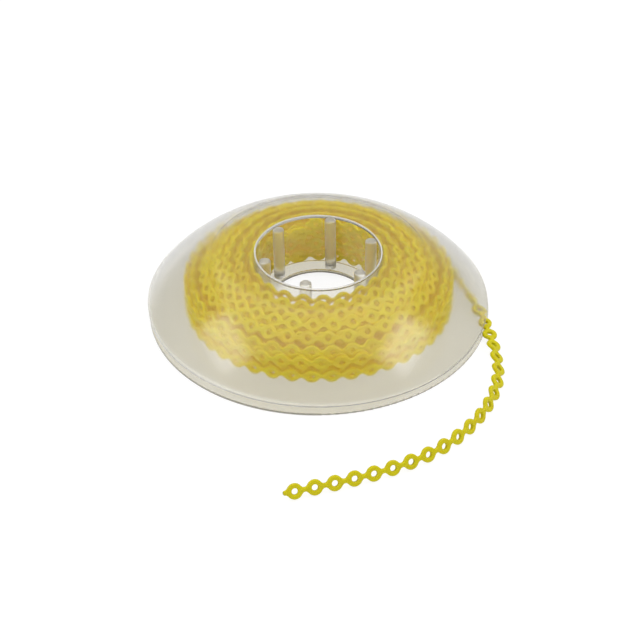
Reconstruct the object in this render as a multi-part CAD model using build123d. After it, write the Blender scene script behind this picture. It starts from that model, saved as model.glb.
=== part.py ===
from build123d import *
import math
import os

# Dispenser spool of elastomer chain: a shallow lower shell with six hub posts, a domed upper shell whose
# hub wall slides over the posts, the wound chain between them, and the chain's free tail on the table.
# Millimetres, +Z up, z = 0 on the table, origin on the spool's axis.

# ---- chain ----
CHAIN_THICK = 0.7           # thickness of the flat chain

# ---- shells ----
RIM_RADIUS = 33.0           # both shells end at this radius
DISC_THICK = 0.5            # wall of the lower shell, at the rim and on its slope
LAND_RADIUS = 31.0          # outside this radius the lower shell lies flat on the table
HUB_FLOOR_RADIUS = 14.0     # inside this radius its underside is level again
HUB_FLOOR_LIFT = 0.8        # height of that underside above the table
BORE_RADIUS = 9.45          # hole through the hub, for a dispenser's peg
LEDGE_RADIUS = 12.45        # raised hub ledge of the lower shell
LEDGE_TOP = 1.6
DISC_EDGE_ROUND = 0.15
LEDGE_EDGE_ROUND = 0.2

POST_COUNT = 6
POST_RADIUS = 1.1
POST_CIRCLE = 10.6          # radius of the circle that the posts stand on
POST_FIRST_ANGLE = -103.3   # degrees from +X
POST_TOP = 12.85
POST_TIP_ROUND = 0.3

LID_RIM_BOTTOM = 1.93       # underside of the upper shell's rim, before its tilt
LID_RIM_THICK = 0.45
RIM_LAND = 0.45             # width of the rim's flat underside
LID_TOP = 12.6              # flat top of the upper shell
LID_WALL = 0.55
SHOULDER_RADIUS = 19.5      # where the flat top turns into the sloping flank
SHOULDER_STEP = 0.2         # the turn is this much further in on the inside face
SHOULDER_ROUND = 6.0
FLANK_ARC = 35.9            # radius of the flank's arc
WALL_OUTER = 12.3           # hub wall of the upper shell
WALL_INNER = 11.95
WALL_FOOT = 1.84
BEAD_TOP = 12.8             # rounded bead on top of the hub wall
LID_TILT = 1.05             # degrees: the upper shell sits lower on the +X side
LID_TILT_HEIGHT = 12.4      # it tilts about a line through the hub at this height

# ---- wound chain ----
WOUND_INNER = 12.55
WOUND_BOTTOM = 1.5
ROWS = [(3.0, 25.9), (3.0, 25.9), (2.0, 22.9), (1.9, 19.2)]     # height and outer radius, bottom row first

# ---- free tail: its route, from beside the winding out under the rim to the free end ----
FREE_MIDDLE = 1.42          # height of its middle on the table, where it leans steeply on its outer edge
SIDE_MIDDLE = 1.15          # height of its middle beside the spool, where it leans less
TAIL_ROUTE = [
    (24.9, 9.9, 3.0),
    (26.8, 4.0, 3.2),
    (29.3, -1.3, 2.1),
    (31.8, -8.0, 0.75),
    (32.9, -16.4, SIDE_MIDDLE),
    (32.9, -24.2, SIDE_MIDDLE),
    (30.25, -32.3, FREE_MIDDLE),
    (25.75, -38.95, FREE_MIDDLE),
    (19.95, -44.35, FREE_MIDDLE),
    (12.85, -48.2, FREE_MIDDLE),
    (5.15, -51.0, FREE_MIDDLE),
    (-1.95, -53.0, FREE_MIDDLE),
    (-6.25, -54.1, FREE_MIDDLE),
]


def revolved(*edges):
    """A closed outline in the XZ plane, turned once round the Z axis."""
    return revolve(Plane.XZ * make_face(Curve() + list(edges)), Axis.Z)


def lower_shell():
    """Disc that rises gently from its flat rim to the hub, with a ledge round the bore."""
    hub_floor_top = HUB_FLOOR_LIFT + DISC_THICK
    outline = Polyline(
        (BORE_RADIUS, HUB_FLOOR_LIFT),
        (HUB_FLOOR_RADIUS, HUB_FLOOR_LIFT),
        (LAND_RADIUS, 0),
        (RIM_RADIUS, 0),
        (RIM_RADIUS, DISC_THICK),
        (LAND_RADIUS, DISC_THICK),
        (HUB_FLOOR_RADIUS, hub_floor_top),
        (LEDGE_RADIUS, hub_floor_top),
        (LEDGE_RADIUS, LEDGE_TOP),
        (BORE_RADIUS, LEDGE_TOP),
        close=True,
    )
    shell = revolved(outline)
    rim_edges = [e for e in shell.edges().filter_by(GeomType.CIRCLE) if abs(e.radius - RIM_RADIUS) < 0.01]
    shell = fillet(rim_edges, DISC_EDGE_ROUND)
    ledge_edges = [e for e in shell.edges().filter_by(GeomType.CIRCLE)
                   if abs(e.radius - LEDGE_RADIUS) < 0.01 and e.center().Z > hub_floor_top + 0.1]
    return fillet(ledge_edges, LEDGE_EDGE_ROUND)


def hub_post(index):
    """One round post that stands on the ledge and centres the upper shell."""
    angle = math.radians(POST_FIRST_ANGLE + index * 360 / POST_COUNT)
    height = POST_TOP - LEDGE_TOP
    post = Cylinder(POST_RADIUS, height, align=(Align.CENTER, Align.CENTER, Align.MIN))
    post = fillet(post.edges().sort_by(Axis.Z)[-1], POST_TIP_ROUND)
    return Pos(POST_CIRCLE * math.cos(angle), POST_CIRCLE * math.sin(angle), LEDGE_TOP) * post


def tilted(solid):
    """The upper shell's parts, lowered on the +X side."""
    return solid.rotate(Axis((0, 0, LID_TILT_HEIGHT), (0, 1, 0)), LID_TILT)


def upper_shell():
    """Domed ring: a flat top from the hub wall to the shoulder, then a flank that bows out to the rim."""
    top_inside = LID_TOP - LID_WALL
    foot_outside = (RIM_RADIUS, LID_RIM_BOTTOM + LID_RIM_THICK)
    foot_inside = (RIM_RADIUS - RIM_LAND, LID_RIM_BOTTOM)
    shoulder_inside = (SHOULDER_RADIUS - SHOULDER_STEP, top_inside)
    shell = revolved(
        Line((WALL_OUTER, LID_TOP), (SHOULDER_RADIUS, LID_TOP)),
        RadiusArc((SHOULDER_RADIUS, LID_TOP), foot_outside, FLANK_ARC),
        Line(foot_outside, (RIM_RADIUS, LID_RIM_BOTTOM)),
        Line((RIM_RADIUS, LID_RIM_BOTTOM), foot_inside),
        RadiusArc(foot_inside, shoulder_inside, -(FLANK_ARC - LID_WALL)),
        Line(shoulder_inside, (WALL_OUTER, top_inside)),
        Line((WALL_OUTER, top_inside), (WALL_OUTER, LID_TOP)),
    )
    inner_turn = (SHOULDER_RADIUS - SHOULDER_STEP, SHOULDER_ROUND - LID_WALL)
    for radius, round_radius in ((SHOULDER_RADIUS, SHOULDER_ROUND), inner_turn):
        ring = [e for e in shell.edges().filter_by(GeomType.CIRCLE) if abs(e.radius - radius) < 0.01]
        shell = fillet(ring, round_radius)
    return tilted(shell)


def hub_wall():
    """Thin tube of the upper shell round the posts, with a rounded bead on top."""
    middle = (WALL_OUTER + WALL_INNER) / 2
    wall = revolved(
        Polyline(
            (WALL_OUTER, LID_TOP),
            (WALL_OUTER, WALL_FOOT),
            (WALL_INNER, WALL_FOOT),
            (WALL_INNER, LID_TOP),
        ),
        ThreePointArc((WALL_INNER, LID_TOP), (middle, BEAD_TOP), (WALL_OUTER, LID_TOP)),
    )
    return tilted(wall)


def chain_row(index):
    """One row of the wound chain, as a plain ring with the row's outer shape."""
    bottom = WOUND_BOTTOM + sum(height for height, _ in ROWS[:index])
    height, outer = ROWS[index]
    ring = Cylinder(outer, height, align=(Align.CENTER, Align.CENTER, Align.MIN))
    ring -= Cylinder(WOUND_INNER, height, align=(Align.CENTER, Align.CENTER, Align.MIN))
    return Pos(0, 0, bottom) * ring


def corner_radii(route):
    """The largest arc each corner's two runs allow."""
    points = [Vector(p) for p in route]
    radii = []
    for before, corner, after in zip(points, points[1:], points[2:]):
        run_in = corner - before
        run_out = after - corner
        turn = math.radians(run_in.get_angle(run_out))
        radii.append(0.45 * min(run_in.length, run_out.length) / math.tan(turn / 2))
    return radii


def chain_tail():
    """The free chain as a plain round tube along its route."""
    radii = corner_radii(TAIL_ROUTE)
    path = FilletPolyline(*TAIL_ROUTE, radius=radii)
    section = Plane(path @ 0, z_dir=path % 0) * Circle(CHAIN_THICK / 2)
    tube = sweep(section, path=path)
    print("tail radii", [round(r, 1) for r in radii])
    print("tail length", round(path.length, 2), "volume", round(tube.volume, 2),
          "section times length", round(section.area * path.length, 2))
    return tube


parts = {
    "lower_shell": lower_shell(),
    "upper_shell": upper_shell(),
    "hub_wall": hub_wall(),
    "chain_tail": chain_tail(),
}
for number in range(POST_COUNT):
    parts[f"hub_post_{number + 1}"] = hub_post(number)
for number in range(len(ROWS)):
    parts[f"chain_row_{number + 1}"] = chain_row(number)

os.makedirs("parts", exist_ok=True)
for name, solid in parts.items():
    export_step(solid, f"parts/{name}.step")
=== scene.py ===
import math
import random

import bpy
import numpy as np
from mathutils import Matrix, Vector


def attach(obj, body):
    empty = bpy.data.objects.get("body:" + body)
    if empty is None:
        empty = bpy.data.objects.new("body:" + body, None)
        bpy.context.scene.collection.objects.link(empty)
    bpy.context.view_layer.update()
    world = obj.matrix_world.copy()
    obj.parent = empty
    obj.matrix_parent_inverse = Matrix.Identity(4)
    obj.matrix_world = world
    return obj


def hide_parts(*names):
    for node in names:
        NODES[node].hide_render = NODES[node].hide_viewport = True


MM = 0.001

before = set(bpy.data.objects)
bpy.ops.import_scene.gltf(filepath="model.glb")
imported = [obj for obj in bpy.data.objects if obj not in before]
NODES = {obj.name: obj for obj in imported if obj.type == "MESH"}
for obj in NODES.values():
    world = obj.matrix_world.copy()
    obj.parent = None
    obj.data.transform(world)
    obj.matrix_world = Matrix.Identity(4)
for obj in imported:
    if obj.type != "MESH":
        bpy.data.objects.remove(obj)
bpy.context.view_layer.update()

# ---------------------------------------------------------------- chain: one ring and its necks, in mm

PITCH = 3.5
RING_RADIUS = 1.4
HOLE_RADIUS = 0.55
WOUND_PITCH = 3.66          # the wound chain is slightly stretched
WOUND_HOLE_RADIUS = 0.52
THICK = 0.7
NECK_HALF = 0.4             # half width of the neck at its middle
NECK_FILLET = 0.16          # the neck widens this far before the ring
NECK_WIDENING = 0.03
NECK_BLEND = 0.05
RING_START_DEG = 150        # the ring's outline runs from here to its mirror image
NUB_LENGTH = 0.3            # rounded end of a neck where the chain was cut
NUB_SHARES = (0.6, 1.0)     # its cross-sections, as shares of its length
NUB_SHRINK = 0.92

# Edge rounding from the top face to the bottom face: (inset in mm, height as a share of half the thickness)
PROFILE_FINE = [(0.15, 1.0), (0.05, 0.84), (0.0, 0.5), (0.0, -0.5), (0.05, -0.84), (0.15, -1.0)]
PROFILE_PLAIN = [(0.1, 1.0), (0.0, 0.6), (0.0, -0.6), (0.1, -1.0)]


def unit_rows(vectors):
    """Each row scaled to length 1."""
    return vectors / np.linalg.norm(vectors, axis=1)[:, None]


def lengths_along(points):
    """Distance of each point from the first, along the line."""
    return np.concatenate([[0], np.cumsum(np.linalg.norm(np.diff(points, axis=0), axis=1))])


def sampled(values, along, where):
    """Rows of values read at other distances along the line."""
    return np.stack([np.interp(where, along, values[:, k]) for k in range(3)], 1)


def eased(t):
    """A share of 0 to 1 that starts and ends gently."""
    return t * t * (3 - 2 * t)


def cell_outline(arc_steps):
    """Upper side of one cell, from its left end to its right end: neck, round ring, neck."""
    first = math.radians(RING_START_DEG)
    neck_end = -RING_RADIUS - NECK_FILLET + NECK_BLEND
    points = [(-PITCH / 2, NECK_HALF), (neck_end, NECK_HALF + NECK_WIDENING)]
    for step in range(arc_steps + 1):
        angle = first - step * (2 * first - math.pi) / arc_steps
        points.append((RING_RADIUS * math.cos(angle), RING_RADIUS * math.sin(angle)))
    points += [(-x, y) for x, y in reversed(points[:2])]
    return np.array(points)


def inward_normals(points):
    """For each point of the outline, the direction towards the chain's middle."""
    steps = np.diff(points, axis=0)
    across = unit_rows(np.stack([steps[:, 1], -steps[:, 0]], 1))
    padded = np.concatenate([across[:1], across, across[-1:]])
    normals = unit_rows(padded[:-1] + padded[1:])
    normals[0] = normals[-1] = (0, -1)
    return normals


def chain_cell(arc_steps, profile, hole_radius):
    """Vertices (along, across, through) and faces of one cell, and the vertices of its two open ends."""
    upper = cell_outline(arc_steps)
    normals = inward_normals(upper)
    count = len(upper)
    rows = len(profile)
    vertices = []

    def rim(flip):
        ids = np.zeros((count, rows), int)
        for j in range(count):
            for row, (inset, height) in enumerate(profile):
                point = upper[j] + normals[j] * inset
                ids[j, row] = len(vertices)
                vertices.append((point[0], flip * point[1], height * THICK / 2))
        return ids

    top_side = rim(1)
    low_side = rim(-1)
    angles = [math.atan2(y, x) for x, y in upper]
    angles[0], angles[-1] = math.pi, 0.0
    around = angles + [-a for a in reversed(angles[1:-1])]
    size = len(around)
    hole = np.zeros((size, rows), int)
    for k, angle in enumerate(around):
        for row, (inset, height) in enumerate(profile):
            radius = hole_radius + inset
            hole[k, row] = len(vertices)
            vertices.append((radius * math.cos(angle), radius * math.sin(angle), height * THICK / 2))

    faces = []
    for row, up in ((0, True), (rows - 1, False)):
        flat = []
        for j in range(count - 1):
            flat.append((hole[j, row], hole[j + 1, row], top_side[j + 1, row], top_side[j, row]))
            a, b = (size - j) % size, (size - j - 1) % size
            flat.append((hole[b, row], hole[a, row], low_side[j, row], low_side[j + 1, row]))
        flat.append((hole[0, row], top_side[0, row], low_side[0, row]))
        flat.append((hole[count - 1, row], low_side[-1, row], top_side[-1, row]))
        faces += [f[::-1] for f in flat] if up else flat
    for row in range(rows - 1):
        under = row + 1
        for j in range(count - 1):
            faces.append((top_side[j, under], top_side[j + 1, under], top_side[j + 1, row], top_side[j, row]))
            faces.append((low_side[j, row], low_side[j + 1, row], low_side[j + 1, under], low_side[j, under]))
        for k in range(size):
            n = (k + 1) % size
            faces.append((hole[k, row], hole[n, row], hole[n, under], hole[k, under]))
    left = list(top_side[0]) + list(low_side[0][::-1])
    right = list(top_side[-1]) + list(low_side[-1][::-1])
    return np.array(vertices), faces, left, right


def add_nub(verts, faces, ring, outwards):
    """Closes a cut neck with a short rounded end."""
    start = [verts[i] for i in ring]
    middle = np.mean(start, axis=0)
    count = len(ring)
    for share in NUB_SHARES:
        shrink = math.sqrt(1 - (NUB_SHRINK * share) ** 2)
        smaller = [len(verts) + k for k in range(count)]
        verts.extend(middle + (v - middle) * shrink + outwards * NUB_LENGTH * share for v in start)
        for k in range(count):
            n = (k + 1) % count
            faces.append((smaller[k], smaller[n], ring[n], ring[k]))
        ring = smaller
    faces.append(tuple(ring))


def chain_object(name, points, across, arc_steps, profile, pitch, hole_radius):
    """A chain of ring cells bent along a path, end to end. points and across are arrays in mm."""
    along = lengths_along(points)
    tangent = unit_rows(np.gradient(points, along, axis=0))
    across = unit_rows(across - tangent * np.sum(across * tangent, axis=1)[:, None])
    through = np.cross(tangent, across)
    cell, cell_faces, left, right = chain_cell(arc_steps, profile, hole_radius)
    own = [i for i in range(len(cell)) if i not in left]
    cells = round(along[-1] / pitch)
    stretch = along[-1] / (cells * PITCH)
    verts = []
    faces = []
    previous = None
    for number in range(cells):
        ids = np.zeros(len(cell), int)
        if previous is None:
            kept = list(range(len(cell)))
        else:
            kept = own
            ids[left] = previous[right]
        ids[kept] = len(verts) + np.arange(len(kept))
        where = ((number + 0.5) * PITCH + cell[kept, 0]) * stretch
        wide = sampled(across, along, where) * cell[kept, 1][:, None]
        deep = sampled(through, along, where) * cell[kept, 2][:, None]
        verts.extend(sampled(points, along, where) + wide + deep)
        faces.extend([tuple(int(ids[i]) for i in f) for f in cell_faces])
        if previous is None:
            add_nub(verts, faces, [int(ids[i]) for i in left], -tangent[0])
        previous = ids
    faces.append(tuple(int(previous[i]) for i in reversed(right)))
    mesh = bpy.data.meshes.new(name)
    mesh.from_pydata([tuple(v * MM) for v in verts], [], faces)
    mesh.update()
    mesh.shade_smooth()
    piece = bpy.data.objects.new(name, mesh)
    bpy.context.scene.collection.objects.link(piece)
    weighted = piece.modifiers.new("even_shading", "WEIGHTED_NORMAL")
    weighted.keep_sharp = True
    return piece


# ---------------------------------------------------------------- materials, in metres

RIM_FADE = (0.0326, 0.0331)     # radii between which the shells turn milky towards their cut edge, a painted highlight, and the tail loses its painted brightening
BEAD_HEIGHT = 0.0123            # the hub wall's bead starts here
FOOT_HEIGHT = 0.0024            # the posts' feet end here
FADE_HALF = 0.00015             # half the height over which a look changes
TONE_EDGES = (0.3, 0.7)         # noise values at which the two tones are reached
TINT_DEPTH = 0.985              # the plastics' darker tone, as a share of the tint


def new_material(name):
    """A node material and its Principled shader."""
    material = bpy.data.materials.new(name)
    material.use_nodes = True
    return material, material.node_tree, material.node_tree.nodes["Principled BSDF"]


def noise(tree, scale, detail=3.0):
    """A noise texture in object space, in cycles per metre."""
    place = tree.nodes.new("ShaderNodeTexCoord")
    texture = tree.nodes.new("ShaderNodeTexNoise")
    texture.inputs["Scale"].default_value = scale
    texture.inputs["Detail"].default_value = detail
    tree.links.new(place.outputs["Object"], texture.inputs["Vector"])
    return texture.outputs["Fac"]


def two_tones(tree, factor, first, second):
    """A colour between two tones, led by a factor."""
    node = tree.nodes.new("ShaderNodeValToRGB")
    for element, position, colour in zip(node.color_ramp.elements, TONE_EDGES, (first, second)):
        element.position, element.color = position, (*colour, 1)
    tree.links.new(factor, node.inputs["Fac"])
    return node.outputs["Color"]


def mapped(tree, value, low, high, start=0.0, end=1.0):
    """A value that runs from low to high while the given one runs from start to end."""
    node = tree.nodes.new("ShaderNodeMapRange")
    node.inputs["From Min"].default_value = start
    node.inputs["From Max"].default_value = end
    node.inputs["To Min"].default_value = low
    node.inputs["To Max"].default_value = high
    tree.links.new(value, node.inputs["Value"])
    return node.outputs["Result"]


def at_rim(tree, inside, at_edge):
    """A value that changes just before the shells' rim."""
    place = tree.nodes.new("ShaderNodeTexCoord")
    flat = tree.nodes.new("ShaderNodeVectorMath")
    flat.operation = "MULTIPLY"
    flat.inputs[1].default_value = (1, 1, 0)
    distance = tree.nodes.new("ShaderNodeVectorMath")
    distance.operation = "LENGTH"
    tree.links.new(place.outputs["Object"], flat.inputs[0])
    tree.links.new(flat.outputs["Vector"], distance.inputs[0])
    return mapped(tree, distance.outputs["Value"], inside, at_edge, *RIM_FADE)


def above(tree, height, below_value, above_value):
    """A value that changes at a height."""
    place = tree.nodes.new("ShaderNodeTexCoord")
    split = tree.nodes.new("ShaderNodeSeparateXYZ")
    tree.links.new(place.outputs["Object"], split.inputs[0])
    return mapped(tree, split.outputs["Z"], below_value, above_value, height - FADE_HALF, height + FADE_HALF)


def bump(tree, shader, height, distance, strength):
    """Fine relief on the surface."""
    node = tree.nodes.new("ShaderNodeBump")
    node.inputs["Distance"].default_value = distance
    node.inputs["Strength"].default_value = strength
    tree.links.new(height, node.inputs["Height"])
    tree.links.new(node.outputs["Normal"], shader.inputs["Normal"])


def elastomer(name, warm, cool, glow, inside=None):
    """Yellow elastomer: satin, slightly translucent, a little uneven in colour. The glow stands for light that
    goes from strand to strand more often than the render follows it. inside is a brighter colour within the rims:
    painted light that makes up for the shade under the shells."""
    material, tree, shader = new_material(name)
    colour = two_tones(tree, noise(tree, scale=260.0), warm, cool)
    # within the rims the colour is painted brighter, to make up for the shade under the shells
    if inside is not None:
        mix = tree.nodes.new("ShaderNodeMix")
        mix.data_type = "RGBA"
        mix.inputs["A"].default_value = (*inside, 1)
        tree.links.new(at_rim(tree, 0.0, 1.0), mix.inputs["Factor"])
        tree.links.new(colour, mix.inputs["B"])
        colour = mix.outputs["Result"]
    tree.links.new(colour, shader.inputs["Base Color"])
    tree.links.new(mapped(tree, noise(tree, scale=900.0), low=0.42, high=0.58), shader.inputs["Roughness"])
    shader.inputs["Specular IOR Level"].default_value = 0.2
    shader.inputs["Subsurface Weight"].default_value = 0.35
    shader.inputs["Subsurface Radius"].default_value = (1.0, 0.7, 0.1)
    shader.inputs["Subsurface Scale"].default_value = 0.0006
    shader.inputs["Emission Color"].default_value = (1.0, 0.65, 0.01, 1)
    shader.inputs["Emission Strength"].default_value = glow
    bump(tree, shader, noise(tree, scale=2500.0, detail=2.0), distance=0.00003, strength=0.35)
    return material


def plastic(name, tint, clear, roughness, index, rim_highlight_clear=None, bead_clear=None, foot_clear=None):
    """Moulded see-through plastic: clear is the share of light that passes, and the rest is milky.
    rim_highlight_clear, bead_clear and foot_clear are that share at the rim, on the hub wall's bead and at a
    post's foot. The milkier rim is a painted highlight along the shells' cut edge."""
    material, tree, shader = new_material(name)
    darker = tuple(c * TINT_DEPTH for c in tint)
    tree.links.new(two_tones(tree, noise(tree, scale=45.0), darker, tint), shader.inputs["Base Color"])
    tree.links.new(mapped(tree, noise(tree, scale=120.0), *roughness), shader.inputs["Roughness"])
    share = shader.inputs["Transmission Weight"]
    share.default_value = clear
    # a milkier band at the rim: painted highlight along the cut edge
    if rim_highlight_clear is not None:
        tree.links.new(at_rim(tree, clear, rim_highlight_clear), share)
    if bead_clear is not None:
        tree.links.new(above(tree, BEAD_HEIGHT, clear, bead_clear), share)
    if foot_clear is not None:
        tree.links.new(above(tree, FOOT_HEIGHT, foot_clear, clear), share)
    shader.inputs["IOR"].default_value = index
    bump(tree, shader, noise(tree, scale=700.0, detail=2.0), distance=0.00002, strength=0.2)
    return material


def dress(node, material):
    """Gives a CAD node its material."""
    mesh = NODES[node].data
    mesh.materials.clear()
    mesh.materials.append(material)


# The tail's colour is painted brighter where it runs under the shells' rims, to make up for the shade there.
TAIL_LOOK = elastomer("yellow_elastomer", (0.48, 0.415, 0.0), (0.49, 0.445, 0.0), 0.0,
                      inside=(0.80, 0.68, 0.0))
# The wound chain is the tail's elastomer, its colour painted brighter and more orange to make up for the shade
# under the shells, plus a painted glow.
WOUND_LOOK = elastomer("yellow_elastomer_brightened_wound", (0.69, 0.565, 0.0), (0.68, 0.62, 0.0), 0.15)
# Both shells get a painted highlight at their rim, a milkier band along the cut edge.
LID_LOOK = plastic("frosted_shell", (0.93, 0.92, 0.88), 0.995, (0.16, 0.20), 1.39, rim_highlight_clear=0.65)
DISC_LOOK = plastic("clear_shell", (0.77, 0.745, 0.65), 0.97, (0.12, 0.17), 1.40, rim_highlight_clear=0.65)
HUB_LOOK = plastic("clear_hub", (0.985, 0.98, 0.965), 0.98, (0.10, 0.18), 1.34, bead_clear=0.58)
POST_LOOK = plastic("milky_post", (0.98, 0.96, 0.89), 0.90, (0.26, 0.34), 1.30, foot_clear=0.3)

dress("upper_shell", LID_LOOK)
dress("lower_shell", DISC_LOOK)
dress("hub_wall", HUB_LOOK)
for node in NODES:
    if node.startswith("hub_post"):
        dress(node, POST_LOOK)

# ---------------------------------------------------------------- the wound chain, in mm and degrees

TRANSITION = 70.0           # part of each turn in which the chain climbs to the next one
START_AZIMUTH = 100.0       # turns begin at the back
STEP_DEG = 2.0
RADIUS_WOBBLE = 0.05
HEIGHT_WOBBLE = 0.05
LEAN_WOBBLE = 3.0
INNER_TURN = 12.98          # radii of the innermost and outermost turns of the two lower rows
OUTER_TURN = 25.5
ROW_3_OUTER = 21.3          # the flat part of row 3, under its two outer turns
ROW_3_HEIGHT = 8.35
ARC_STEPS_WOUND = 5
ARC_STEPS_TAIL = 14

rng = random.Random(11)


def wound_path(turns):
    """Points and across-directions of turns (radius, height, lean), wound clockwise."""
    points = []
    across = []
    steps = int(360 / STEP_DEG)
    for i, turn in enumerate(turns):
        following = turns[min(i + 1, len(turns) - 1)]
        wave = [rng.uniform(0, 2 * math.pi) for _ in range(3)]
        for step in range(steps):
            degrees = step * STEP_DEG
            t = eased(max(0.0, (degrees - (360 - TRANSITION)) / TRANSITION))
            radius, height, lean = [a + (b - a) * t for a, b in zip(turn, following)]
            turn_angle = math.radians(degrees)
            fade = math.sin(turn_angle / 2)
            radius += RADIUS_WOBBLE * fade * math.sin(3 * turn_angle + wave[0])
            height += HEIGHT_WOBBLE * fade * math.sin(2 * turn_angle + wave[1])
            lean += LEAN_WOBBLE * fade * math.sin(4 * turn_angle + wave[2])
            lean = math.radians(lean)
            azimuth = math.radians(START_AZIMUTH - degrees)
            out = np.array([math.cos(azimuth), math.sin(azimuth), 0])
            points.append(out * radius + np.array([0, 0, height]))
            across.append(-out * math.sin(lean) + np.array([0, 0, math.cos(lean)]))
    return np.array(points), np.array(across)


def flat_turns(first, last, count, low, high):
    """Turns of one row, their radius from first to last and their height rising outwards from low to high."""
    inner, outer = min(first, last), max(first, last)
    turns = []
    for i in range(count):
        radius = first + (last - first) * i / (count - 1)
        turns.append((radius, low + (high - low) * (radius - inner) / (outer - inner), 0.0))
    return turns


WINDING = {
    "chain_row_4": [(12.95, 10.3, 0.0), (15.4, 10.52, 51.0), (17.75, 10.5, 53.0), (19.75, 10.0, 50.0)],
    "chain_row_3": [(22.0, 8.85, 42.0), (24.25, 7.35, 14.0)]
                   + flat_turns(ROW_3_OUTER, INNER_TURN, 10, ROW_3_HEIGHT, ROW_3_HEIGHT),
    "chain_row_2": flat_turns(INNER_TURN, OUTER_TURN, 14, 5.62, 6.0),
    "chain_row_1": flat_turns(OUTER_TURN, INNER_TURN, 14, 2.88, 2.9),
}
for row, turns in WINDING.items():
    path, wide = wound_path(turns)
    wound = chain_object("wound_" + row, path, wide, ARC_STEPS_WOUND, PROFILE_PLAIN, WOUND_PITCH,
                         WOUND_HOLE_RADIUS)
    wound.data.materials.append(WOUND_LOOK)
    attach(wound, "reel")
    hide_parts(row)

# ---------------------------------------------------------------- the free tail, in metres

TAIL_ROUTE = [
    (0.0249, 0.0099, 0.0030),
    (0.0268, 0.0040, 0.0032),
    (0.0293, -0.0013, 0.0021),
    (0.0318, -0.0080, 0.00075),
    (0.0329, -0.0164, 0.00115),
    (0.0329, -0.0242, 0.00115),
    (0.03025, -0.0323, 0.00142),
    (0.02575, -0.03895, 0.00142),
    (0.01995, -0.04435, 0.00142),
    (0.01285, -0.0482, 0.00142),
    (0.00515, -0.0510, 0.00142),
    (-0.00195, -0.0530, 0.00142),
    (-0.00625, -0.0541, 0.00142),
]

# Its twist, counted from the free end: (ring number, degrees from lying flat)
TAIL_TWIST = [(0, -60), (4, -64), (11.5, -66), (13, -58), (14.5, -42), (17, -36), (18.6, -8), (19.2, -2),
              (19.85, -6), (20.3, -14), (21.6, -45), (23.5, -85), (25.2, -88)]


def route_points(route):
    """The smooth line through a route, read from its NURBS spline."""
    curve = bpy.data.curves.new("tail_route", "CURVE")
    curve.dimensions = "3D"
    spline = curve.splines.new("NURBS")
    spline.points.add(len(route) - 1)
    for point, place in zip(spline.points, route):
        point.co = (*place, 1)
    spline.order_u = 3
    spline.use_endpoint_u = True
    spline.resolution_u = 24
    holder = bpy.data.objects.new("tail_route", curve)
    bpy.context.scene.collection.objects.link(holder)
    bpy.context.view_layer.update()
    mesh = bpy.data.meshes.new_from_object(holder)
    points = np.array([v.co[:] for v in mesh.vertices])
    bpy.data.objects.remove(holder)
    bpy.data.meshes.remove(mesh)
    return points


def smooth_steps(x, table):
    """Values eased between the table's rows."""
    xs = np.array([row[0] for row in table], float)
    ys = np.array([row[1] for row in table], float)
    i = np.clip(np.searchsorted(xs, x, side="right") - 1, 0, len(xs) - 2)
    t = eased(np.clip((x - xs[i]) / (xs[i + 1] - xs[i]), 0, 1))
    return ys[i] + (ys[i + 1] - ys[i]) * t


tail_line = route_points(TAIL_ROUTE)
tail_mm = tail_line[::-1] / MM
tail_along = lengths_along(tail_mm)
direction = unit_rows(np.gradient(tail_mm, tail_along, axis=0))
level = unit_rows(np.cross(direction, (0, 0, 1.0)))
upright = np.cross(level, direction)
twist = np.radians(smooth_steps(tail_along / PITCH, TAIL_TWIST))
tail_across = level * np.cos(twist)[:, None] + upright * np.sin(twist)[:, None]
tail = chain_object("free_chain", tail_mm, tail_across, ARC_STEPS_TAIL, PROFILE_FINE, PITCH, HOLE_RADIUS)
tail.data.materials.append(TAIL_LOOK)
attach(tail, "base")
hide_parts("chain_tail")

# ---------------------------------------------------------------- camera, floor and light

EYE = Vector((0.0, -0.2425, 0.1848))
AIM = Vector((0.000149, 0.0, -0.003957))
ROLL = math.radians(0.8)
LENS = 87.6
SENSOR_WIDTH = 36.0
NEAREST = 0.01

TABLE_HALF = 3.0
TABLE_DROP = 0.00006        # clears the lower shell's underside
TABLE_GREY = 0.16
TABLE_GLOW = 0.86
WORLD_LIGHT = 0.52


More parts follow.
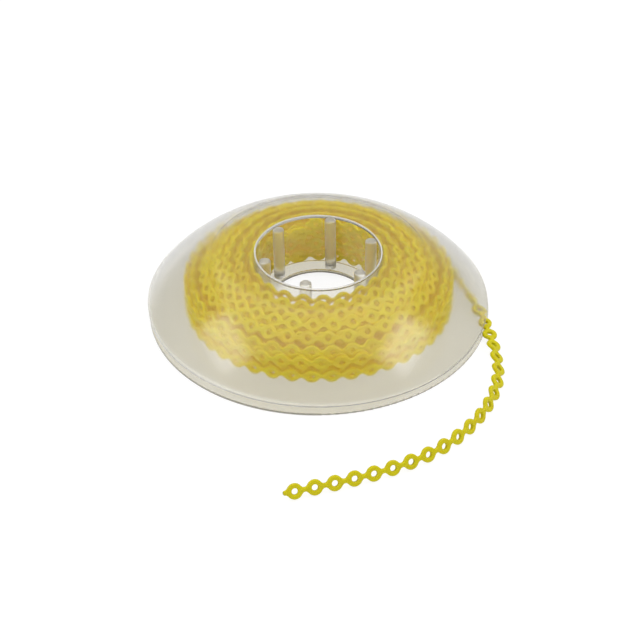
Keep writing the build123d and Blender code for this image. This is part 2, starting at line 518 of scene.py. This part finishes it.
def place_camera():
    data = bpy.data.cameras.new("camera")
    data.lens = LENS
    data.sensor_width = SENSOR_WIDTH
    data.clip_start = NEAREST
    camera = bpy.data.objects.new("camera", data)
    bpy.context.scene.collection.objects.link(camera)
    forward = (AIM - EYE).normalized()
    right = forward.cross(Vector((0, 0, 1))).normalized()
    up = right.cross(forward)
    tilted_right = right * math.cos(ROLL) - up * math.sin(ROLL)
    tilted_up = up * math.cos(ROLL) + right * math.sin(ROLL)
    turned = Matrix((tilted_right, tilted_up, -forward)).transposed().to_4x4()
    camera.matrix_world = Matrix.Translation(EYE) @ turned
    bpy.context.scene.camera = camera


def light_table():
    """A white table that glows evenly."""
    mesh = bpy.data.meshes.new("floor")
    corners = [(-1, -1), (1, -1), (1, 1), (-1, 1)]
    mesh.from_pydata([(x * TABLE_HALF, y * TABLE_HALF, -TABLE_DROP) for x, y in corners], [], [(0, 1, 2, 3)])
    plane = bpy.data.objects.new("floor", mesh)
    bpy.context.scene.collection.objects.link(plane)
    material, tree, shader = new_material("light_table")
    shader.inputs["Base Color"].default_value = (TABLE_GREY, TABLE_GREY, TABLE_GREY, 1)
    shader.inputs["Emission Color"].default_value = (1, 1, 1, 1)
    shader.inputs["Emission Strength"].default_value = TABLE_GLOW
    shader.inputs["Roughness"].default_value = 0.9
    shader.inputs["Specular IOR Level"].default_value = 0.0
    mesh.materials.append(material)


def softbox(name, place, size, power, target=(0, 0, 0)):
    """A large soft lamp that faces a point."""
    data = bpy.data.lights.new(name, "AREA")
    data.shape = "RECTANGLE"
    data.size, data.size_y = size
    data.energy = power
    lamp = bpy.data.objects.new(name, data)
    lamp.location = place
    lamp.rotation_euler = (Vector(target) - Vector(place)).to_track_quat("-Z", "Y").to_euler()
    bpy.context.scene.collection.objects.link(lamp)


place_camera()
light_table()
softbox("left_box", (-0.44, -0.05, 0.43), (0.34, 0.20), 0.95)
softbox("right_box", (0.44, -0.08, 0.44), (0.34, 0.20), 1.1)
softbox("front_box", (0.0, -0.60, 0.12), (0.30, 0.10), 0.6)
softbox("top_box", (0.0, 0.35, 0.9), (1.6, 1.4), 8.0, target=(0, 0.35, 0))

world = bpy.data.worlds.new("studio")
world.use_nodes = True
world.node_tree.nodes["Background"].inputs["Color"].default_value = (1, 1, 1, 1)
world.node_tree.nodes["Background"].inputs["Strength"].default_value = WORLD_LIGHT
bpy.context.scene.world = world
bpy.context.scene.view_settings.view_transform = "Standard"
bpy.context.scene.cycles.use_denoising = True

bpy.context.view_layer.update()
